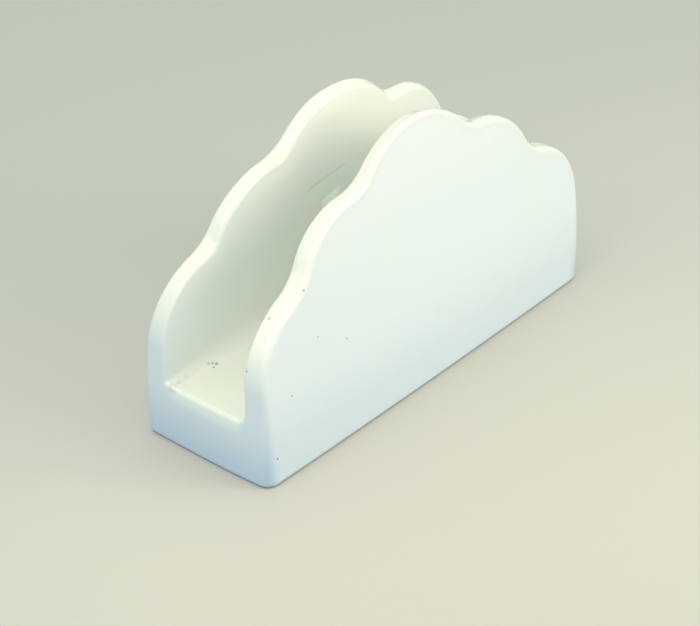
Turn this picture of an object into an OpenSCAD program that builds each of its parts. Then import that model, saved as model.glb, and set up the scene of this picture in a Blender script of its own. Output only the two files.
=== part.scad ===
// Scalloped ceramic napkin holder: two leaning panels on a channel that holds the napkins upright.
// It is one glazed casting, drawn here as the five walls that it is made up of.
// X runs along the channel, the front panel is at -Y, and the foot stands on Z = 0.

/* [Overall] */
// Length over the end faces, at the foot
foot_len = 153; // [138:0.2:168]
// Depth over the two panels, at the foot
foot_depth = 50.3; // [46:0.1:60]
// Height of the crown lobe's top
height = 87.6; // [82:0.1:94]
// Lean of the end faces, in degrees
end_lean = 1.3; // [0:0.1:2.5]

/* [Lobes] */
// Radius of the crown lobe in the middle
crown_r = 29.3; // [27:0.1:32]
// Radius of the lobe on each side of the crown
mid_r = 24.8; // [23:0.1:26.5]
// Radius of the shoulder lobe at each end
shoulder_r = 24.8; // [23:0.1:27]
// Height of the shoulder lobe's centre
shoulder_z = 30.8; // [27:0.1:35]
// Radius of the valleys between the lobes, along the rim's outer edge
outer_valley_r = 14; // [8:0.1:20]
// Radius of the valleys along the rim's inner edge, where they are sharper
inner_valley_r = 6; // [3:0.1:9]

/* [Panels] */
// Thickness of a panel at the foot
panel_t = 10.1; // [9:0.1:12]
// Lean of the outer faces above the bend, in degrees
outer_lean = 7.6; // [5:0.1:8.5]
// Lean of the inner faces above the channel, in degrees
inner_lean = 4.3; // [2:0.1:5.5]
// Height at which the outer faces start to bend inwards
bend_z = 12; // [8:0.5:20]
// Height that the bend takes
bend_h = 20; // [12:0.5:30]
// Radius of the rim and end edges
rim_r = 1.2; // [0.8:0.1:2]
// Radius of the outer edges at the foot
foot_r = 1.4; // [1:0.1:3]

/* [Channel] */
// Height of the channel floor at its ends
floor_z = 19.6; // [14:0.1:24]
// Thickness of the floor
floor_t = 5; // [3:0.1:7]
// Radius of the coves beside the floor at its ends
end_cove_r = 1.5; // [1:0.1:5]
// Radius of the coves beside the floor half way along
middle_cove_r = 8; // [4:0.1:9]
// How far the floor dips half way along
floor_dip = 1.4; // [0.4:0.1:2.5]
// Thickness of the walls that close the ends under the floor
end_wall_t = 5; // [3:0.1:8]

/* [Hidden] */

glaze = [0.94, 0.96, 0.92];
glaze_shade = [0.86, 0.89, 0.87];

// Smallest edge radius, where one wall is joined to the next, and the lip's radius there
arris_r = 0.15;
joint_r = 0.07;
// Most of a thin wall that one rounded edge may take, as a share
rim_wall_share = 0.48;
// Number of steps along half of the crown lobe, a valley, the middle lobe and the shoulder lobe
crown_steps = 14;
valley_steps = 6;
mid_steps = 11;
shoulder_steps = 16;
// Number of steps round the foot corner, round an edge, round a cove and along a straight run
corner_steps = 3;
edge_steps = 5;
cove_steps = 8;
line_steps = 6;
// Places of the rings on a panel's face, as shares of the way from its middle line to its edge
face_shares = [0.1, 0.32, 0.46, 0.6, 0.76];
// The panel's middle line, as shares of its height and of its length
middle_z_share = 0.41;
middle_len_share = 0.5;
// Where the middle lobe's centre lies between those of the shoulder and the crown
mid_x_share = 0.573;
mid_z_share = 0.674;
// Places of the channel's cross-sections, as shares of its half length
station_shares = [0.94, 0.86, 0.74, 0.58, 0.4, 0.2, 0];

half_len = foot_len / 2;
half_depth = foot_depth / 2;
channel_half = half_depth - panel_t;
under_z = floor_z - floor_dip - floor_t;

function heading(from, to) = atan2(to[1] - from[1], to[0] - from[0]);
function up_turn(a) = (a + 360) % 360;

// Half length at height z, between the leaning end faces
function half_len_at(z) = half_len - z * tan(end_lean);

// Lobe centres on the right half, as [x, z]
crown_c = [0, height - crown_r];
shoulder_c = [half_len_at(shoulder_z) - shoulder_r / cos(end_lean), shoulder_z];
mid_c = [
    shoulder_c[0] * mid_x_share,
    shoulder_z + (crown_c[1] - shoulder_z) * mid_z_share
];

// Centre of a valley: the circle that touches two lobes from outside, on their upper side
function valley_centre(c1, r1, c2, r2, valley_r) =
    let (reach1 = r1 + valley_r)
    let (reach2 = r2 + valley_r)
    let (gap = norm(c2 - c1))
    let (along = (reach1 * reach1 - reach2 * reach2 + gap * gap) / (2 * gap))
    let (up = sqrt(reach1 * reach1 - along * along))
    let (u = (c2 - c1) / gap)
    c1 + u * along + [-u[1], u[0]] * up;

// Points of an arc as [x, z, normal x, normal z], without its first point
// A bulge has its normals away from the centre (side 1), a hollow towards it (side -1)
function arc_points(c, r, a1, a2, side, steps) =
    [for (k = [1:steps])
        let (a = a1 + (a2 - a1) * k / steps)
        let (n = [cos(a), sin(a)])
        [c[0] + r * n[0], c[1] + r * n[1], side * n[0], side * n[1]]];

// Straight run of points with one normal, without its first point
function line_points(p, q, n, steps) =
    [for (k = [1:steps])
        let (s = p + (q - p) * k / steps)
        [s[0], s[1], n[0], n[1]]];

end_normal = [cos(end_lean), sin(end_lean)];
foot_corner_c = [half_len_at(foot_r) - foot_r / cos(end_lean), foot_r];
shoulder_end = shoulder_c + shoulder_r * end_normal;
corner_start = foot_corner_c + foot_r * end_normal;

// Right half of the outline, clockwise from the crown's top to the middle of the foot
function right_half(valley_r) =
    let (upper_c = valley_centre(crown_c, crown_r, mid_c, mid_r, valley_r))
    let (lower_c = valley_centre(mid_c, mid_r, shoulder_c, shoulder_r, valley_r))
    concat(
        [[0, height, 0, 1]],
        arc_points(crown_c, crown_r, 90, heading(crown_c, upper_c), 1, crown_steps),
        arc_points(upper_c, valley_r, up_turn(heading(upper_c, crown_c)),
            up_turn(heading(upper_c, mid_c)), -1, valley_steps),
        arc_points(mid_c, mid_r, heading(mid_c, upper_c), heading(mid_c, lower_c), 1, mid_steps),
        arc_points(lower_c, valley_r, up_turn(heading(lower_c, mid_c)),
            up_turn(heading(lower_c, shoulder_c)), -1, valley_steps),
        arc_points(shoulder_c, shoulder_r, heading(shoulder_c, lower_c), end_lean, 1, shoulder_steps),
        line_points(shoulder_end, corner_start, end_normal, line_steps),
        arc_points(foot_corner_c, foot_r, end_lean, -90, 1, corner_steps),
        line_points([foot_corner_c[0], 0], [0, 0], [0, -1], line_steps)
    );

// The whole outline, whose left half mirrors the right
function whole_outline(valley_r) =
    let (right = right_half(valley_r))
    concat(right, [for (i = [len(right) - 2:-1:1])
        let (p = right[i])
        [-p[0], p[1], -p[2], p[3]]]);

outer_outline = whole_outline(outer_valley_r);
inner_outline = whole_outline(inner_valley_r);

// Rise of a bend that starts at height z1 and is fully leaning after bend_h
function bend_rise(z, z1) =
    z <= z1 ? 0
    : z >= z1 + bend_h ? z - z1 - bend_h / 2
    : (z - z1) * (z - z1) / (2 * bend_h);

// Distance of a panel's faces from the middle of the holder, at height z
inner_bend_z = floor_z + middle_cove_r;
function outer_y(z) = half_depth - tan(outer_lean) * bend_rise(z, bend_z);
function inner_y(z) = channel_half - tan(inner_lean) * bend_rise(z, inner_bend_z);

// The rim's radius, held under half of the wall there
function edge_r(z) = min(rim_r, (outer_y(z) - inner_y(z)) * rim_wall_share);

// The inner edge is square where the channel is joined on, and rounds off above it
joint_top_z = floor_z + end_cove_r;
function inner_edge_r(z) =
    let (free_share = min(1, max(0, (z - joint_top_z) / (2 * rim_r))))
    arris_r + (edge_r(z) - arris_r) * free_share;

// One ring of a panel: its outline drawn in by inset, at depth under the outer or inner face
function rim_point(p, inset) = [p[0] - p[2] * inset, p[1] - p[3] * inset];
function outer_ring(a) =
    [for (p = outer_outline)
        let (r = edge_r(p[1]))
        let (q = rim_point(p, r * (1 - sin(a))))
        [q[0], r * (1 - cos(a)) - outer_y(q[1]), q[1]]];
function inner_ring(a) =
    [for (p = inner_outline)
        let (r = inner_edge_r(p[1]))
        let (q = rim_point(p, r * (1 - sin(a))))
        [q[0], -inner_y(q[1]) - r * (1 - cos(a)), q[1]]];

// The rings on a face run from a flat loop round the panel's middle line out to the edge
middle_z = height * middle_z_share;
function face_point(p, r, s) =
    let (q = rim_point(p, r))
    let (m = [q[0] * middle_len_share, middle_z])
    m + (q - m) * s;
function outer_face_ring(s) =
    [for (p = outer_outline)
        let (q = face_point(p, edge_r(p[1]), s))
        [q[0], -outer_y(q[1]), q[1]]];
function inner_face_ring(s) =
    [for (p = inner_outline)
        let (q = face_point(p, inner_edge_r(p[1]), s))
        [q[0], -inner_y(q[1]), q[1]]];

function flip(list) = [for (i = [len(list) - 1:-1:0]) list[i]];

// A closed skin over rings of one length, with the first ring's end faces and the same on the last
module skin(rings, end_faces) {
    n = len(rings[0]);
    last = len(rings) - 1;
    sides = [for (j = [0:last - 1]) for (i = [0:n - 1])
        let (k = (i + 1) % n)
        [j * n + i, (j + 1) * n + i, (j + 1) * n + k, j * n + k]];
    triangles = [for (f = sides) each [[f[0], f[1], f[2]], [f[0], f[2], f[3]]]];
    far_faces = [for (f = end_faces) [for (i = flip(f)) last * n + i]];
    polyhedron(points = [for (ring = rings) each ring],
        faces = concat(end_faces, far_faces, triangles), convexity = 6);
}

// A scalloped panel, as the front one stands
module panel() {
    skin(concat(
        [for (s = face_shares) outer_face_ring(s)],
        [for (k = [0:edge_steps]) outer_ring(90 * k / edge_steps)],
        [for (k = [edge_steps:-1:0]) inner_ring(90 * k / edge_steps)],
        [for (s = flip(face_shares)) inner_face_ring(s)]
    ), [[for (i = [0:len(outer_outline) - 1]) i]]);
}

module front_panel() {
    color(glaze) panel();
}

module back_panel() {
    color(glaze) rotate([0, 0, 180]) panel();
}

// Floor height and cove radius at a share of the half length
function floor_at(share) = floor_z - floor_dip * (1 - share * share);
function cove_at(share) = end_cove_r + (middle_cove_r - end_cove_r) * (1 - pow(share, 3));

// Cove angle at which the cove has come within the arris of the panel's face
function cove_start(r) = acos(1 - arris_r / r);

// The channel's top line at one cross-section, from +Y to -Y, as [y, z, normal y, normal z]
function channel_line(share) =
    let (r = cove_at(share))
    let (z = floor_at(share))
    let (a = cove_start(r))
    let (cove = [for (k = [0:cove_steps])
        let (t = a + (90 - a) * k / cove_steps)
        [channel_half - r + r * cos(t), z + r - r * sin(t), -cos(t), sin(t)]])
    concat(
        cove,
        [[0, z, 0, 1]],
        flip([for (p = cove) [-p[0], p[1], -p[2], p[3]]])
    );

// One cross-section of the channel, its top drawn down and its end drawn in round the lip
function channel_ring(share, a, side) =
    let (line = channel_line(share))
    let (top = [for (p = line)
        let (r = joint_r + (rim_r - joint_r) * pow(p[3], 4))
        let (y = p[0] - p[2] * r * (1 - sin(a)))
        let (z = p[1] - p[3] * r * (1 - sin(a)))
        [side * (share * half_len_at(z) - r * (1 - cos(a))), y, z]])
    let (cove_top_z = top[0][2])
    concat(
        [[side * share * half_len_at(cove_top_z), channel_half, cove_top_z]],
        top,
        [[side * share * half_len_at(cove_top_z), -channel_half, cove_top_z]],
        [[side * share * half_len_at(under_z), -channel_half, under_z]],
        [[side * share * half_len_at(under_z), channel_half, under_z]]
    );

// The floor of the channel, with its coves, its shallow dip and its rounded lips
module channel_floor() {
    left_lip = [for (k = [0:edge_steps]) channel_ring(1, 90 * k / edge_steps, -1)];
    left_run = [for (s = station_shares) channel_ring(s, 90, -1)];
    right_run = [for (s = flip(station_shares)) if (s > 0) channel_ring(s, 90, 1)];
    right_lip = [for (k = [edge_steps:-1:0]) channel_ring(1, 90 * k / edge_steps, 1)];
    low_near = len(left_lip[0]) - 2;
    low_far = low_near + 1;
    middle = cove_steps + 2;
    end_faces = concat(
        [for (i = [0:middle - 1]) [low_far, i, i + 1]],
        [[low_far, middle, low_near]],
        [for (i = [middle:low_near - 2]) [low_near, i, i + 1]]
    );
    color(glaze_shade) skin(concat(left_lip, left_run, right_run, right_lip), end_faces);
}

// Side view of an end wall: the outline's lower corner, cut off under the floor
end_wall_profile = concat(
    [[half_len_at(under_z), under_z]],
    [for (p = arc_points(foot_corner_c, foot_r, end_lean, -90, 1, corner_steps)) [p[0], p[1]]],
    [[half_len_at(under_z) - end_wall_t, 0]],
    [[half_len_at(under_z) - end_wall_t, under_z]]
);

module end_wall() {
    rotate([90, 0, 0])
        linear_extrude(height = 2 * channel_half, center = true)
            polygon(end_wall_profile);
}

module right_end_wall() {
    color(glaze_shade) end_wall();
}

module left_end_wall() {
    color(glaze_shade) rotate([0, 0, 180]) end_wall();
}

front_panel();
back_panel();
channel_floor();
left_end_wall();
right_end_wall();
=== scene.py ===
"""The looks of a scalloped napkin holder in white glazed ceramic.

The whole casting is described as one smooth field of distances, in millimetres, so that rims, coves, lips
and corners flow into each other as they do under a glaze. The field's surface is meshed once, and planes
then cut it into the five walls of the CAD model. Object coordinates are the frame's own, in metres.
"""
import math

import bmesh
import bpy
import numpy as np
from mathutils import Matrix, Vector


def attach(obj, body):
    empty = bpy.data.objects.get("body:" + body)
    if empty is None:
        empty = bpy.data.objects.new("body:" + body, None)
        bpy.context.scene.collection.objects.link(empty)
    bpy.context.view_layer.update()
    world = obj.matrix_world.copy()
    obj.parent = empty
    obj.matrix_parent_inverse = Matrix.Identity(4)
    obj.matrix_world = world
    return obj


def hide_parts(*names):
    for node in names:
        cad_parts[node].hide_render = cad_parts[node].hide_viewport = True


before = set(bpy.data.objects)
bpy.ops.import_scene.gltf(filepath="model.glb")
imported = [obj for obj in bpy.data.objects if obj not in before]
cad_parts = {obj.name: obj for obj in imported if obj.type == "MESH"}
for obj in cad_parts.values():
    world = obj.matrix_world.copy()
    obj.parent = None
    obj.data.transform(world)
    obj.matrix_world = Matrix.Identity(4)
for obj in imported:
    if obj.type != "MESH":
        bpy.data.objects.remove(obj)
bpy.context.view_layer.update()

MM = 0.001

# Overall sizes of the casting, in millimetres, with angles written in degrees
HALF_LEN = 76.49
HALF_DEPTH = 25.15
HEIGHT = 87.6
END_LEAN = math.radians(1.3)

# Lobes and valleys of the scalloped outline
CROWN_R = 29.3
MID_R = 24.8
SHOULDER_R = 24.8
SHOULDER_Z = 30.8
MID_X_SHARE = 0.573
MID_Z_SHARE = 0.674
OUTER_VALLEY_R = 14.0
INNER_VALLEY_R = 6.0
FRONT_VALLEY_R = 14.0

# Panels: thickness at the foot, lean of both faces, and where the outer face bends inwards
PANEL_T = 10.1
OUTER_LEAN = math.radians(7.6)
INNER_LEAN = math.radians(4.3)
BEND_Z = 12.0
BEND_H = 20.0

# Rounding of the rims, of the foot and of the upright corners near the foot
OUTER_EDGE_SHARE = 0.25
INNER_RIM_R = 1.0
FOOT_R = 1.4
FOOT_CORNER_R = 3.6
FOOT_CORNER_H = 14.0

# Channel floor, its coves, and the wall that closes each end under it
FLOOR_Z = 19.6
FLOOR_T = 5.0
FLOOR_DIP = 1.4
END_COVE_R = 1.5
FRONT_END_COVE_R = 3.5
MIDDLE_COVE_R = 8.0
END_WALL_T = 5.0
CHANNEL_HALF = HALF_DEPTH - PANEL_T
INNER_BEND_Z = FLOOR_Z + MIDDLE_COVE_R

# Hollow under the floor
HOLLOW_R = 2.0
HOLLOW_EDGE_R = 1.0
UNDER_Z = FLOOR_Z - FLOOR_DIP - FLOOR_T

# Bows of the faces and the ends, and how far the ends are askew
FACE_BOW = 0.7
END_BOW = 0.65
END_SKEW = 0.4

# Inner faces: how they roll away towards the rims, and where the front panel is thicker
ROLL_DEPTH = 0.75
ROLL_W = 8.0
FRONT_THICKER = 1.1
FRONT_THICKER_Z = 63.0
FRONT_THICKER_REACH = 20.0

# Roll under the lips of the channel, and the glossy bead at the left lip
LIP_ROLL_DEPTH = 0.9
LIP_ROLL_H = 5.0
LIP_ROLL_EDGE = 4.0
BEAD_R = 0.5
BEAD_BLEND = 1.1
BEAD_ENDS = ((-75.0, 14.7, 19.7), (-74.8, 12.3, 19.2))

# Where the outline is uneven by hand: place as (x, z), front -1 or back 1, swell and reach
SWELLS = [
    (35.4, 73.1, 1, 1.2, 17.0),
    (71.0, 44.5, -1, 0.95, 17.0),
    (-10.0, 83.0, 1, 0.6, 11.0),
    (12.2, 84.1, -1, -0.25, 13.0),
    (-41.0, 71.0, 1, -0.55, 16.0),
    (-65.0, 51.0, -1, -0.75, 14.0),
]

# Where the casting is cut into walls: just inside the panels, and just under the floor
SEAM_Y = 9.7
SEAM_DROP = 0.3
SEAM_Z = UNDER_Z - SEAM_DROP
CUT_TOLERANCE = 1e-5

# How far a cream tint, painted warm light on the upper rims, reaches from the rims onto the faces
RIM_TINT_W = 4.0

# Mesh grid, how far it is shifted, the margin round the casting, and how points settle on the surface
GRID = 0.75
GRID_SHIFT_SHARE = 0.37
MARGIN = 2.5
SLOPE_STEP = 0.01
SETTLE_ROUNDS = 4
LEAST_SLOPE_SQUARED = 0.25


def half_len_at(z):
    """Half length between the leaning end faces."""
    return HALF_LEN - z * math.tan(END_LEAN)


def heading(start, end):
    """Angle of the way from one place to another."""
    return math.atan2(end[1] - start[1], end[0] - start[0])


def valley_centre(c1, r1, c2, r2, valley_r):
    """Centre of the circle that touches two lobes from outside, on their upper side."""
    c1, c2 = np.array(c1), np.array(c2)
    reach1, reach2 = r1 + valley_r, r2 + valley_r
    gap = np.linalg.norm(c2 - c1)
    along = (reach1 ** 2 - reach2 ** 2 + gap ** 2) / (2 * gap)
    up = math.sqrt(reach1 ** 2 - along ** 2)
    u = (c2 - c1) / gap
    return tuple(c1 + u * along + np.array([-u[1], u[0]]) * up)


# Centres of the lobes on the right half of the outline, as (x, z)
CROWN_C = (0.0, HEIGHT - CROWN_R)
SHOULDER_C = (half_len_at(SHOULDER_Z) - SHOULDER_R / math.cos(END_LEAN), SHOULDER_Z)
MID_C = (SHOULDER_C[0] * MID_X_SHARE, SHOULDER_Z + (CROWN_C[1] - SHOULDER_Z) * MID_Z_SHARE)


def arc_distance(x, z, centre, radius, start, end, side):
    """Signed distance to an arc from angle start up to end, or infinity beyond its ends."""
    dx, dz = x - centre[0], z - centre[1]
    turn = (np.arctan2(dz, dx) - start) % (2 * math.pi)
    distance = side * (np.hypot(dx, dz) - radius)
    return np.where(turn <= (end - start) % (2 * math.pi), distance, np.inf)


def outline_distance(x, z, valley_r):
    """Signed distance to the scalloped outline, which is a chain of touching arcs and the leaning ends."""
    x = np.abs(x)
    upper = valley_centre(CROWN_C, CROWN_R, MID_C, MID_R, valley_r)
    lower = valley_centre(MID_C, MID_R, SHOULDER_C, SHOULDER_R, valley_r)
    end_side = (x - half_len_at(z)) * math.cos(END_LEAN)
    below = z < SHOULDER_Z + SHOULDER_R * math.sin(END_LEAN)
    pieces = [
        np.where(below, end_side, np.inf),
        arc_distance(x, z, CROWN_C, CROWN_R, heading(CROWN_C, upper), math.pi / 2, 1),
        arc_distance(x, z, upper, valley_r, heading(upper, CROWN_C), heading(upper, MID_C), -1),
        arc_distance(x, z, MID_C, MID_R, heading(MID_C, lower), heading(MID_C, upper), 1),
        arc_distance(x, z, lower, valley_r, heading(lower, MID_C), heading(lower, SHOULDER_C), -1),
        arc_distance(x, z, SHOULDER_C, SHOULDER_R, END_LEAN, heading(SHOULDER_C, lower), 1),
    ]
    nearest = pieces[0]
    for piece in pieces[1:]:
        nearest = np.where(np.abs(piece) < np.abs(nearest), piece, nearest)
    return np.where(np.isinf(nearest), -HEIGHT, nearest)


def bend_rise(z, start):
    """Rise of a bend that starts at height start and is fully leaning after BEND_H."""
    t = np.clip(z - start, 0, BEND_H)
    return t * t / (2 * BEND_H) + np.maximum(z - start - BEND_H, 0)


def outer_y(z):
    """How far out a panel's outer face lies."""
    return HALF_DEPTH - math.tan(OUTER_LEAN) * bend_rise(z, BEND_Z)


def inner_y(z):
    """How far out a panel's inner face lies."""
    return CHANNEL_HALF - math.tan(INNER_LEAN) * bend_rise(z, INNER_BEND_Z)


def round_both(a, b, r):
    """What lies in both shapes, with the edge between them rounded by r."""
    return np.minimum(np.maximum(a, b), -r) + np.hypot(np.maximum(a + r, 0), np.maximum(b + r, 0))


def round_either(a, b, r):
    """What lies in either shape, with a cove of radius r in the corner between them."""
    return np.maximum(np.minimum(a, b), r) - np.hypot(np.maximum(r - a, 0), np.maximum(r - b, 0))


def fade(distance, reach):
    """Falls from 1 at no distance to 0 at reach, and meets 0 smoothly."""
    return np.clip(1 - distance / reach, 0, 1) ** 2


def hump(distance, reach):
    """Is 1 at no distance and falls smoothly to 0 at reach."""
    return np.clip(1 - (distance / reach) ** 2, 0, 1) ** 2


def segment_distance(x, y, z, start, end):
    """Distance to the straight line between two places."""
    way = [b - a for a, b in zip(start, end)]
    along = sum((p - a) * w for p, a, w in zip((x, y, z), start, way)) / sum(w * w for w in way)
    along = np.clip(along, 0, 1)
    return np.sqrt(sum((p - a - along * w) ** 2 for p, a, w in zip((x, y, z), start, way)))


def unevenness(x, y, z):
    """How far the outline swells at each point."""
    total = np.zeros_like(x)
    for place_x, place_z, side, swell, reach in SWELLS:
        total += np.where(y * side > 0, swell * hump(np.hypot(x - place_x, z - place_z), reach), 0)
    return total


def holder(x, y, z):
    """Signed distance to the casting's surface, below zero inside."""
    side = np.abs(y)
    share = np.clip(np.abs(x) / HALF_LEN, 0, 1)
    uneven = unevenness(x, y, z)
    front_line = outline_distance(x, z, FRONT_VALLEY_R)
    back_line = outline_distance(x, z, INNER_VALLEY_R)
    inner_line = np.where(y < 0, front_line, back_line) - uneven
    outer_line = outline_distance(x, z, OUTER_VALLEY_R) - uneven
    floor = z - (FLOOR_Z - FLOOR_DIP * (1 - share ** 2))
    end_cove = np.where(y < 0, FRONT_END_COVE_R, END_COVE_R)
    cove = end_cove + (MIDDLE_COVE_R - end_cove) * (1 - share ** 3)
    roll = ROLL_DEPTH * fade(-inner_line, ROLL_W)
    roll -= FRONT_THICKER * hump(z - FRONT_THICKER_Z, FRONT_THICKER_REACH) * (y < 0)
    outer = (side - outer_y(z) + FACE_BOW * share ** 2) * math.cos(OUTER_LEAN)
    wall = (inner_y(z) + roll - side) * math.cos(INNER_LEAN)
    section = np.maximum(outer, round_either(wall, floor, cove))
    thickness = outer_y(z) - inner_y(z)
    outer_r = OUTER_EDGE_SHARE * thickness
    outer_r += (FOOT_CORNER_R - outer_r) * fade(z, FOOT_CORNER_H)
    middle = (outer_y(z) + inner_y(z)) / 2
    outward = np.clip((side - middle) / (outer_r + INNER_RIM_R) + 1 / 2, 0, 1)
    rim_r = INNER_RIM_R + (outer_r - INNER_RIM_R) * outward
    line = inner_line + (outer_line - inner_line) * outward
    in_channel = (1 - fade(CHANNEL_HALF - side, LIP_ROLL_EDGE)) * (side < CHANNEL_HALF)
    lip_roll = LIP_ROLL_DEPTH * fade(np.maximum(FLOOR_Z - z, 0), LIP_ROLL_H) * in_channel
    end_bow = END_BOW + END_SKEW * x * y / (HALF_LEN * HALF_DEPTH)
    bow = end_bow * (side / HALF_DEPTH) ** 2 * share ** 2
    body = round_both(line + bow + lip_roll, section, rim_r)
    body = round_both(body, -z, FOOT_R)
    body = round_either(body, segment_distance(x, y, z, *BEAD_ENDS) - BEAD_R, BEAD_BLEND)
    ends = np.abs(x) - (half_len_at(z) - END_WALL_T)
    hollow = round_both(round_both(ends, side - CHANNEL_HALF, HOLLOW_R), z - UNDER_Z, HOLLOW_R)
    return round_both(body, -hollow, HOLLOW_EDGE_R)


def slope(points):
    """Gradient of the field at each point."""
    result = np.empty_like(points)
    for axis in range(3):
        step = np.zeros(3)
        step[axis] = SLOPE_STEP
        ahead = holder(*(points + step).T)
        behind = holder(*(points - step).T)
        result[:, axis] = (ahead - behind) / (2 * SLOPE_STEP)
    return result


def settle(points):
    """Moves points onto the surface."""
    for _ in range(SETTLE_ROUNDS):
        g = slope(points)
        d = holder(*points.T)
        points = points - g * (d / np.maximum((g * g).sum(1), LEAST_SLOPE_SQUARED))[:, None]
    return points


def grid_axis(low, high):
    """Grid coordinates that lie clear of the planes of symmetry and of the foot."""
    count = math.ceil((high - low) / GRID) + 1
    return low + GRID * (np.arange(count) + GRID_SHIFT_SHARE)


def surface_net():
    """Vertices and quads of the field's surface: one vertex for each grid cell that it passes through."""
    xs = grid_axis(-HALF_LEN - MARGIN, HALF_LEN + MARGIN)
    ys = grid_axis(-HALF_DEPTH - MARGIN, HALF_DEPTH + MARGIN)
    zs = grid_axis(-MARGIN, HEIGHT + MARGIN)
    field = holder(*np.meshgrid(xs, ys, zs, indexing="ij"))
    inside = field < 0
    cells = np.array(field.shape) - 1
    total = np.zeros((*cells, 3))
    crossings = np.zeros(cells)
    for axis in range(3):
        others = [k for k in range(3) if k != axis]
        near = [slice(None)] * 3
        far = [slice(None)] * 3
        near[axis], far[axis] = slice(0, -1), slice(1, None)
        a, b = field[tuple(near)], field[tuple(far)]
        crossed = (a < 0) != (b < 0)
        share = np.where(crossed, a / np.where(crossed, a - b, 1), 0)
        for da in (0, 1):
            for db in (0, 1):
                pick = [slice(None)] * 3
                pick[others[0]] = slice(da, da + cells[others[0]])
                pick[others[1]] = slice(db, db + cells[others[1]])
                hit = crossed[tuple(pick)]
                crossings += hit
                total[..., axis] += np.where(hit, share[tuple(pick)], 0)
                total[..., others[0]] += np.where(hit, da, 0)
                total[..., others[1]] += np.where(hit, db, 0)
    active = crossings > 0
    index = np.full(cells, -1)
    index[active] = np.arange(active.sum())
    corner = np.stack(np.nonzero(active), 1)
    local = total[active] / crossings[active][:, None]
    points = np.array([xs[0], ys[0], zs[0]]) + GRID * (corner + local)
    quads = []
    for axis in range(3):
        u, v = (axis + 1) % 3, (axis + 2) % 3
        near = [slice(1, -1)] * 3
        far = [slice(1, -1)] * 3
        near[axis], far[axis] = slice(0, -1), slice(1, None)
        start, end = inside[tuple(near)], inside[tuple(far)]
        for leaving in (True, False):
            where = np.stack(np.nonzero((start != end) & (start == leaving)), 1)
            where[:, u] += 1
            where[:, v] += 1
            ring = []
            for du, dv in ((-1, -1), (0, -1), (0, 0), (-1, 0)):
                cell = where.copy()
                cell[:, u] += du
                cell[:, v] += dv
                ring.append(index[tuple(cell.T)])
            quad = np.stack(ring, 1)
            quads.append(quad if leaving else quad[:, ::-1])
    return settle(points), np.concatenate(quads)


def cut_wall(points, quads, name, planes):
    """One wall as a closed mesh: the skin cut off at planes, each a point and the side that goes."""
    source = bpy.data.meshes.new(name + "_skin")
    source.from_pydata(points.tolist(), [], quads.tolist())
    bm = bmesh.new()
    bm.from_mesh(source)
    bpy.data.meshes.remove(source)
    cap = bm.faces.layers.int.new("cap")
    for point, away in planes:
        cut = bmesh.ops.bisect_plane(
            bm, geom=bm.verts[:] + bm.edges[:] + bm.faces[:], dist=CUT_TOLERANCE,
            plane_co=point, plane_no=away, clear_outer=True,
        )
        edges = [e for e in cut["geom_cut"] if isinstance(e, bmesh.types.BMEdge)]
        filled = bmesh.ops.triangle_fill(bm, use_beauty=True, edges=edges, normal=away)
        for face in filled["geom"]:
            if isinstance(face, bmesh.types.BMFace):
                face[cap] = 1
    bm.normal_update()
    mesh = bpy.data.meshes.new(name)
    bm.to_mesh(mesh)
    bm.free()
    return mesh


def dress_normals(mesh):
    """Gives the glazed faces the field's own normals, and the cut faces flat ones, then scales to metres."""
    co = np.empty(len(mesh.vertices) * 3)
    mesh.vertices.foreach_get("co", co)
    co = co.reshape(-1, 3)
    # The rim mask carries the painted warm light on the upper rims
    rim = np.clip(1 + outline_distance(co[:, 0], co[:, 2], INNER_VALLEY_R) / RIM_TINT_W, 0, 1)
    mesh.attributes.new("rim", "FLOAT", "POINT").data.foreach_set("value", rim)
    g = slope(co)
    g /= np.linalg.norm(g, axis=1)[:, None]
    cap = mesh.attributes["cap"].data
    normals = []
    for polygon in mesh.polygons:
        polygon.use_smooth = True
        flat = cap[polygon.index].value
        for vertex in polygon.vertices:
            normals.append(tuple(polygon.normal) if flat else tuple(g[vertex]))
    mesh.attributes.remove(mesh.attributes["cap"])
    mesh.transform(Matrix.Scale(MM, 4))
    mesh.normals_split_custom_set(normals)


def add_piece(mesh, name, material, node):
    """Puts a glazed wall in the scene in place of its CAD node."""
    piece = bpy.data.objects.new(name, mesh)
    bpy.context.scene.collection.objects.link(piece)
    mesh.materials.append(material)
    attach(piece, "root")
    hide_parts(node)
    return piece


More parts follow.
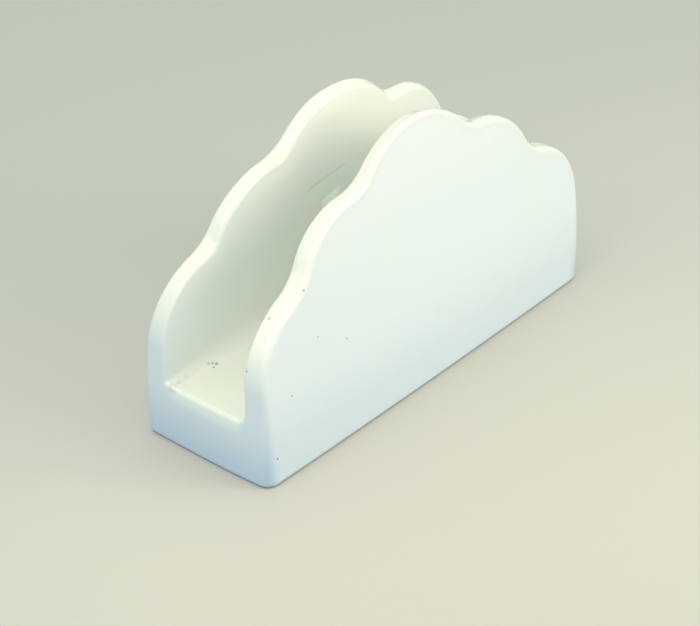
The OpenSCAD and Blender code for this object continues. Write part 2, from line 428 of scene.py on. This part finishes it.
class Net:
    """A material and short ways to add nodes to it. A value is a number, a colour or a node's output."""

    def __init__(self, name):
        self.material = bpy.data.materials.new(name)
        self.material.use_nodes = True
        self.nodes = self.material.node_tree.nodes
        self.links = self.material.node_tree.links
        self.nodes.clear()
        output = self.nodes.new("ShaderNodeOutputMaterial")
        self.shader = self.nodes.new("ShaderNodeBsdfPrincipled")
        self.links.new(self.shader.outputs["BSDF"], output.inputs["Surface"])

    def feed(self, socket, value):
        """Links a node's output to a socket, or sets the socket to a number or colour."""
        if isinstance(value, bpy.types.NodeSocket):
            self.links.new(value, socket)
        else:
            socket.default_value = value

    def maths(self, operation, *values):
        """One step of arithmetic."""
        node = self.nodes.new("ShaderNodeMath")
        node.operation = operation
        for socket, value in zip(node.inputs, values):
            self.feed(socket, value)
        return node.outputs["Value"]

    def product(self, *values):
        """All the values multiplied."""
        total = values[0]
        for value in values[1:]:
            total = self.maths("MULTIPLY", total, value)
        return total

    def ramp(self, value, start, end):
        """Goes smoothly from 0 at start to 1 at end, and end may be the lower one."""
        node = self.nodes.new("ShaderNodeMapRange")
        node.interpolation_type = "SMOOTHSTEP"
        self.feed(node.inputs["Value"], value)
        node.inputs["From Min"].default_value = start
        node.inputs["From Max"].default_value = end
        return node.outputs["Result"]

    def mix(self, factor, low, high):
        """Goes from the colour low at factor 0 to the colour high at factor 1."""
        node = self.nodes.new("ShaderNodeMix")
        node.data_type = "RGBA"
        for socket, value in (("Factor", factor), ("A", low), ("B", high)):
            self.feed(node.inputs[socket], value)
        return node.outputs["Result"]

    def find_place(self):
        """Sets place, in millimetres in the frame, and its x, y and z."""
        coordinates = self.nodes.new("ShaderNodeTexCoord")
        scale = self.nodes.new("ShaderNodeVectorMath")
        scale.operation = "SCALE"
        self.feed(scale.inputs[0], coordinates.outputs["Object"])
        scale.inputs["Scale"].default_value = 1 / MM
        self.place = scale.outputs["Vector"]
        apart = self.nodes.new("ShaderNodeSeparateXYZ")
        self.feed(apart.inputs[0], self.place)
        self.x, self.y, self.z = apart.outputs

    def distance(self, spot):
        """Distance of the place from a spot, in millimetres."""
        node = self.nodes.new("ShaderNodeVectorMath")
        node.operation = "DISTANCE"
        self.feed(node.inputs[0], self.place)
        node.inputs[1].default_value = spot
        return node.outputs["Value"]

    def noise(self, size, detail=2.0):
        """Noise of features of about a size in millimetres, around one half."""
        node = self.nodes.new("ShaderNodeTexNoise")
        self.feed(node.inputs["Vector"], self.place)
        node.inputs["Scale"].default_value = 1 / size
        node.inputs["Detail"].default_value = detail
        return node.outputs[0]

    def curve(self, value, points):
        """A smooth curve through points, over values from 0 to 1."""
        node = self.nodes.new("ShaderNodeFloatCurve")
        self.feed(node.inputs["Value"], value)
        line = node.mapping.curves[0]
        line.points[0].location = points[0]
        line.points[1].location = points[-1]
        for point in points[1:-1]:
            line.points.new(*point)
        node.mapping.update()
        return node.outputs["Value"]


# Colours of the glaze, of the bare foot ring and of the marks; some are painted light, shade and reflection
GLAZE = (0.84, 0.87, 0.82, 1)
WARM_GLAZE = (0.85, 0.87, 0.79, 1)
# Painted light: the glaze is lighter and warmer towards the top, where more light falls
TOP_PAINTED_LIGHT = (0.90, 0.885, 0.83, 1)
# Painted shade: darker, blue-grey glaze towards the foot, strongest on the end faces
PAINTED_FOOT_SHADE = (0.62, 0.70, 0.76, 1)
# Painted warm light: a cream tint on the upper rims, where the warm light falls
RIM_PAINTED_WARM_LIGHT = (0.82, 0.85, 0.76, 1)
BARE_CLAY = (0.74, 0.70, 0.61, 1)
# Painted reflection: a pale patch on the back panel's inner face
PAINTED_REFLECTION = (0.96, 1.0, 1.0, 1)
STAIN = (0.54, 0.50, 0.28, 1)
RIM_STAIN = (0.62, 0.55, 0.30, 1)
YELLOW_TINT = (0.85, 0.86, 0.70, 1)
CRAZE = (0.36, 0.31, 0.24, 1)
SPECK = (0.10, 0.10, 0.09, 1)
SOFT_SPECK = (0.52, 0.50, 0.46, 1)

# Warm patches: size in millimetres, values of the noise where they start and are full, and their share
WARM_PATCH_SIZE = 28
WARM_PATCHES = (0.40, 0.72)
WARM_SHARE = 0.7

# Where each other colour of the glaze starts and is full, in millimetres along x or z, and its share
# TOP_Z and TOP_SHARE place the painted light towards the top
TOP_Z = (50, 88)
TOP_SHARE = 0.8
# CREAM_Z: the painted warm light on the rims fades in with height
CREAM_Z = (28, 46)
# END_FACE_X, FOOT_Z and the two shares place the painted shade at the foot
END_FACE_X = (70, 75)
FOOT_Z = (22, -1)
FOOT_FACE_SHARE = 0.1
FOOT_END_SHARE = 0.9
BARE_Z = (0.35, 0.15)

# Waves and grain of the glaze as size and height, in millimetres, and its gloss
WAVE_SIZE, WAVE_H = 9, 0.06
GRAIN_SIZE, GRAIN_H = 1.1, 0.002
SMOOTH_DETAIL = 1.0
ROUGH_PATCH_SIZE = 14
ROUGH_LEAST = 0.06
ROUGH_SPREAD = 0.10
BARE_ROUGHER = 0.75
GLAZE_IOR = 1.5

# Marks that the photograph shows: place and radius in millimetres, and colour
SPOTS = [
    (-71.8, -24.5, 9.8, 0.42, SPECK),
    (-53.9, -20.1, 55.8, 0.40, SPECK),
    (-51.1, -22.5, 39.9, 0.40, SOFT_SPECK),
    (-64.2, -23.9, 27.2, 0.50, SOFT_SPECK),
    (-39.6, -23.3, 33.9, 0.45, SOFT_SPECK),
    (-64.5, -16.5, 50.4, 0.75, RIM_STAIN),
    (-74.4, -16.4, 37.7, 0.45, CRAZE),
    (-59.6, 11.5, 19.3, 0.40, SPECK),
    (-57.9, 12.0, 19.4, 0.85, STAIN),
    (-58.9, 12.7, 19.8, 0.60, STAIN),
    (-60.0, 13.2, 20.1, 0.55, SOFT_SPECK),
    (-12.0, -15.6, 84.8, 3.00, YELLOW_TINT),
]
SPOT_EDGE_SHARE = 0.35

# Where the back panel's inner face begins and ends, for the crack and the painted reflection that lie on it
# alone
BACK_FACE_Y = (10, 11)
BACK_FACE_END_Y = (17, 16)

# The fine crack there: where it starts, how far it runs and rises, its course in shares of both, and
# where it fades in and out, in shares of its length
CRACK_X, CRACK_LEN = -15.2, 20.8
CRACK_Z, CRACK_RISE = 56.5, 5.0
CRACK_COURSE = [(0, 0.14), (0.12, 0.42), (0.36, 0.60), (0.65, 0.73), (0.88, 0.80), (1, 0.66)]
CRACK_START = (-0.02, 0.06)
CRACK_END = (1, 0.7)
CRACK_W = 0.34
CRACK_SHARE = 0.42

# The painted reflection there, a pale four-sided patch: its four edges, and how its upper edge slants
REFLECTION_LEFT_X = (-8, -6.5)
REFLECTION_RIGHT_X = (0.9, 0.1)
REFLECTION_LOW_Z = (48, 49)
REFLECTION_HIGH_Z = (54.3, 53.7)
REFLECTION_SLANT = -0.3

# The stain along the corners of the channel, near its ends
CORNER_Y = 13.5
CORNER_Z = 19.8
CORNER_REACH = (1.3, 0.2)
CORNER_X = (60, 66)
CORNER_PATCH_SIZE = 2.2
CORNER_PATCHES = (0.42, 0.62)
CORNER_DETAIL = 3.0
CORNER_SHARE = 0.35


def add_spots(net, colour):
    """Specks and small stains, laid over a colour."""
    for x, y, z, radius, tint in SPOTS:
        near = net.ramp(net.distance((x, y, z)), radius, radius * SPOT_EDGE_SHARE)
        colour = net.mix(near, colour, tint)
    return colour


def add_crack(net, colour, back):
    """The fine crack, which fades out at both ends."""
    along = net.maths("DIVIDE", net.maths("SUBTRACT", net.x, CRACK_X), CRACK_LEN)
    course = net.maths("MULTIPLY_ADD", net.curve(along, CRACK_COURSE), CRACK_RISE, CRACK_Z)
    off = net.maths("ABSOLUTE", net.maths("SUBTRACT", net.z, course))
    held = net.product(net.ramp(along, *CRACK_START), net.ramp(along, *CRACK_END), back, CRACK_SHARE)
    return net.mix(net.product(net.ramp(off, CRACK_W, 0), held), colour, CRAZE)


def add_painted_reflection(net, colour, back):
    """A painted reflection: the pale four-sided patch."""
    slanted = net.maths("MULTIPLY_ADD", net.x, REFLECTION_SLANT, net.z)
    pale = net.product(
        net.ramp(net.x, *REFLECTION_LEFT_X), net.ramp(net.x, *REFLECTION_RIGHT_X),
        net.ramp(slanted, *REFLECTION_HIGH_Z), net.ramp(net.z, *REFLECTION_LOW_Z), back,
    )
    return net.mix(pale, colour, PAINTED_REFLECTION)


def add_corner_stain(net, colour):
    """The broken stain where the channel's floor meets its sides."""
    across = net.maths("SUBTRACT", net.maths("ABSOLUTE", net.y), CORNER_Y)
    above = net.maths("SUBTRACT", net.z, CORNER_Z)
    squares = net.maths("ADD", net.product(across, across), net.product(above, above))
    near = net.ramp(net.maths("SQRT", squares), *CORNER_REACH)
    broken = net.ramp(net.noise(CORNER_PATCH_SIZE, CORNER_DETAIL), *CORNER_PATCHES)
    at_end = net.ramp(net.maths("ABSOLUTE", net.x), *CORNER_X)
    return net.mix(net.product(near, broken, at_end, CORNER_SHARE), colour, STAIN)


def glaze_colour(net):
    """White that is warmer in patches, with painted light at the top, painted cream light at the rims and
    painted blue-grey shade at the foot.
    """
    patches = net.ramp(net.noise(WARM_PATCH_SIZE), *WARM_PATCHES)
    colour = net.mix(net.product(patches, WARM_SHARE), GLAZE, WARM_GLAZE)
    # Painted light: lighter and warmer towards the top
    colour = net.mix(net.product(net.ramp(net.z, *TOP_Z), TOP_SHARE), colour, TOP_PAINTED_LIGHT)
    rim = net.nodes.new("ShaderNodeAttribute")
    rim.attribute_name = "rim"
    # Painted warm light: cream on the upper rims
    colour = net.mix(net.product(rim.outputs["Fac"], net.ramp(net.z, *CREAM_Z)), colour, RIM_PAINTED_WARM_LIGHT)
    # Painted shade: blue-grey towards the foot, mostly on the end faces
    at_end = net.ramp(net.maths("ABSOLUTE", net.x), *END_FACE_X)
    foot_share = net.maths("MULTIPLY_ADD", at_end, FOOT_END_SHARE, FOOT_FACE_SHARE)
    return net.mix(net.product(net.ramp(net.z, *FOOT_Z), foot_share), colour, PAINTED_FOOT_SHADE)


def glaze_material():
    """The glaze with the marks that the photograph shows, a painted reflection, painted light and shade, and
    the bare ring that it stands on.
    """
    net = Net("glaze")
    net.find_place()
    back = net.product(net.ramp(net.y, *BACK_FACE_Y), net.ramp(net.y, *BACK_FACE_END_Y))
    colour = add_spots(net, glaze_colour(net))
    colour = add_crack(net, colour, back)
    # Painted reflection: the pale patch on the back panel's inner face
    colour = add_painted_reflection(net, colour, back)
    colour = add_corner_stain(net, colour)
    bare = net.ramp(net.z, *BARE_Z)
    net.feed(net.shader.inputs["Base Color"], net.mix(bare, colour, BARE_CLAY))
    bump = net.nodes.new("ShaderNodeBump")
    bump.inputs["Strength"].default_value = 1
    bump.inputs["Distance"].default_value = MM
    wave = net.noise(WAVE_SIZE, SMOOTH_DETAIL)
    grain = net.product(net.noise(GRAIN_SIZE, SMOOTH_DETAIL), GRAIN_H)
    net.feed(bump.inputs["Height"], net.maths("MULTIPLY_ADD", wave, WAVE_H, grain))
    net.feed(net.shader.inputs["Normal"], bump.outputs["Normal"])
    rough = net.maths("MULTIPLY_ADD", net.noise(ROUGH_PATCH_SIZE), ROUGH_SPREAD, ROUGH_LEAST)
    net.feed(net.shader.inputs["Roughness"], net.maths("MULTIPLY_ADD", bare, BARE_ROUGHER, rough))
    net.shader.inputs["IOR"].default_value = GLAZE_IOR
    return net.material


# Camera, from the perspective fit to the photograph, which is 700 pixels wide
IMAGE_W = 700
FOCAL_PX = 2080.8
SENSOR_MM = 36.0
VIEW_AZIMUTH = -0.8565
VIEW_ELEVATION = 0.5700
VIEW_ROLL = -0.0134
VIEW_TARGET = Vector((-34.72, -20.34, 38.96)) * MM
VIEW_DISTANCE = 600.9 * MM
CLIP_START = 10 * MM


def add_camera():
    """The camera at the photograph's place and angle."""
    back = Vector((
        math.sin(VIEW_AZIMUTH) * math.cos(VIEW_ELEVATION),
        -math.cos(VIEW_AZIMUTH) * math.cos(VIEW_ELEVATION),
        math.sin(VIEW_ELEVATION),
    ))
    right = Vector((math.cos(VIEW_AZIMUTH), math.sin(VIEW_AZIMUTH), 0))
    up = back.cross(right)
    right_rolled = right * math.cos(VIEW_ROLL) + up * math.sin(VIEW_ROLL)
    up_rolled = up * math.cos(VIEW_ROLL) - right * math.sin(VIEW_ROLL)
    data = bpy.data.cameras.new("camera")
    data.sensor_fit = "HORIZONTAL"
    data.sensor_width = SENSOR_MM
    data.lens = FOCAL_PX * SENSOR_MM / IMAGE_W
    data.clip_start = CLIP_START
    camera = bpy.data.objects.new("camera", data)
    bpy.context.scene.collection.objects.link(camera)
    turn = Matrix((right_rolled, up_rolled, back)).transposed().to_4x4()
    camera.matrix_world = Matrix.Translation(VIEW_TARGET + back * VIEW_DISTANCE) @ turn
    bpy.context.scene.camera = camera


# The floor: half its size in metres, what the camera and the gloss see, and what light it throws back
FLOOR_HALF = 12.0
FLOOR_COLOUR = (0.58, 0.56, 0.52, 1)
FLOOR_BOUNCE = (0.10, 0.25, 0.54, 1)
FLOOR_ROUGHNESS = 0.7


def add_floor():
    """The plain pale floor."""
    mesh = bpy.data.meshes.new("floor")
    h = FLOOR_HALF
    mesh.from_pydata([(-h, -h, 0), (h, -h, 0), (h, h, 0), (-h, h, 0)], [], [(0, 1, 2, 3)])
    floor = bpy.data.objects.new("floor", mesh)
    bpy.context.scene.collection.objects.link(floor)
    net = Net("floor")
    path = net.nodes.new("ShaderNodeLightPath")
    seen = net.maths("MAXIMUM", path.outputs["Is Camera Ray"], path.outputs["Is Glossy Ray"])
    net.feed(net.shader.inputs["Base Color"], net.mix(seen, FLOOR_BOUNCE, FLOOR_COLOUR))
    net.shader.inputs["Roughness"].default_value = FLOOR_ROUGHNESS
    mesh.materials.append(net.material)


# Studio lamps: name, azimuth, elevation, distance, width and height in metres, watts and colour
LAMP_TARGET = Vector((0, 0, 0.05))
LAMPS = [
    ("front", 34, 12, 0.6, 0.3, 0.16, 0.86, (1.0, 0.82, 0.66)),
    ("key", 12, 38, 0.28, 0.12, 0.12, 0.19, (1.0, 0.82, 0.62)),
    ("upper_left", -79, 42, 0.22, 0.1, 0.1, 0.152, (1.0, 0.76, 0.62)),
    ("window", -83, 38, 0.9, 0.06, 0.1, 0.15, (1.0, 1.0, 1.0)),
]

# Light from all round
AMBIENT_COLOUR = (0.86, 1.0, 0.91, 1)
AMBIENT_STRENGTH = 0.925


def way_to(azimuth, elevation):
    """Unit vector towards a place seen from the object: azimuth 0 is in front, and 90 is on the right."""
    a, e = math.radians(azimuth), math.radians(elevation)
    return Vector((math.sin(a) * math.cos(e), -math.cos(a) * math.cos(e), math.sin(e)))


def add_lamp(name, azimuth, elevation, distance, width, height, power, colour):
    """A lamp of a rectangle's shape that faces the object."""
    data = bpy.data.lights.new(name, "AREA")
    data.shape = "RECTANGLE"
    data.size, data.size_y = width, height
    data.energy = power
    data.color = colour
    lamp = bpy.data.objects.new(name, data)
    bpy.context.scene.collection.objects.link(lamp)
    way = way_to(azimuth, elevation)
    lamp.location = LAMP_TARGET + way * distance
    lamp.rotation_euler = (-way).to_track_quat("-Z", "Y").to_euler()


def add_lights():
    """The even light from all round, and the lamps."""
    world = bpy.data.worlds.new("world")
    world.use_nodes = True
    bpy.context.scene.world = world
    background = world.node_tree.nodes["Background"]
    background.inputs["Color"].default_value = AMBIENT_COLOUR
    background.inputs["Strength"].default_value = AMBIENT_STRENGTH
    for lamp in LAMPS:
        add_lamp(*lamp)


bpy.context.scene.view_settings.view_transform = "Standard"
add_camera()
add_floor()
add_lights()
skin_points, skin_quads = surface_net()
glaze = glaze_material()
BETWEEN_PANELS = [((0, -SEAM_Y, 0), (0, -1, 0)), ((0, SEAM_Y, 0), (0, 1, 0))]
ABOVE_SEAM = [((0, 0, SEAM_Z), (0, 0, -1))]
BELOW_SEAM = [((0, 0, SEAM_Z), (0, 0, 1))]
WALLS = {
    "front_panel": ("front_panel", [((0, -SEAM_Y, 0), (0, 1, 0))]),
    "back_panel": ("back_panel", [((0, SEAM_Y, 0), (0, -1, 0))]),
    "channel_floor": ("channel_floor", BETWEEN_PANELS + ABOVE_SEAM),
    "left_end_wall": ("end_walls", BETWEEN_PANELS + BELOW_SEAM + [((0, 0, 0), (1, 0, 0))]),
    "right_end_wall": ("end_walls", BETWEEN_PANELS + BELOW_SEAM + [((0, 0, 0), (-1, 0, 0))]),
}
for wall_name, (wall_slot, wall_planes) in WALLS.items():
    wall_mesh = cut_wall(skin_points, skin_quads, wall_name + "_glazed", wall_planes)
    dress_normals(wall_mesh)
    add_piece(wall_mesh, wall_name + "_glazed", glaze, wall_name)
